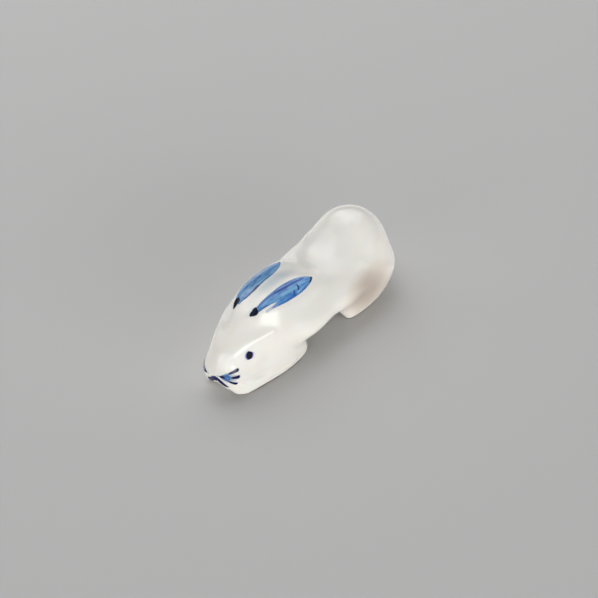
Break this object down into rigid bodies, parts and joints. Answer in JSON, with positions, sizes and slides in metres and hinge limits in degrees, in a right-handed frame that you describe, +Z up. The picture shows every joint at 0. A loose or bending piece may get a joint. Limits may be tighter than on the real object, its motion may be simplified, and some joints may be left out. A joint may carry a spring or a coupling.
{
  "type": "chopstick rest",
  "caption": "Chopstick rest in the form of a crouching rabbit in glazed porcelain with painted features, which holds the sticks in the dip of its back.",
  "frame": {"origin": "centre of the footprint, on the table under the middle of the rabbit", "axes": "-Y towards the nose, +Y towards the tail, +X towards the rabbit's left, +Z up"},
  "size_m": [0.0216, 0.0611, 0.0202],
  "materials": {
    "body": "gloss",
    "ear_leaf_left": "gloss",
    "ear_leaf_right": "gloss",
    "ear_root_left": "gloss",
    "ear_root_right": "gloss",
    "eye_left": "gloss",
    "eye_right": "gloss",
    "nose": "gloss",
    "mouth_left": "gloss",
    "mouth_right": "gloss",
    "whiskers_left": "gloss",
    "whiskers_right": "gloss"
  },
  "bodies": {
    "root": {"body": "body", "ear_leaf_left": "ear_leaf_left", "ear_leaf_right": "ear_leaf_right", "ear_root_left": "ear_root_left", "ear_root_right": "ear_root_right", "eye_left": "eye_left", "eye_right": "eye_right", "nose": "nose", "mouth_left": "mouth_left", "mouth_right": "mouth_right", "whiskers_left": "whiskers_left", "whiskers_right": "whiskers_right"}
  },
  "joints": []
}
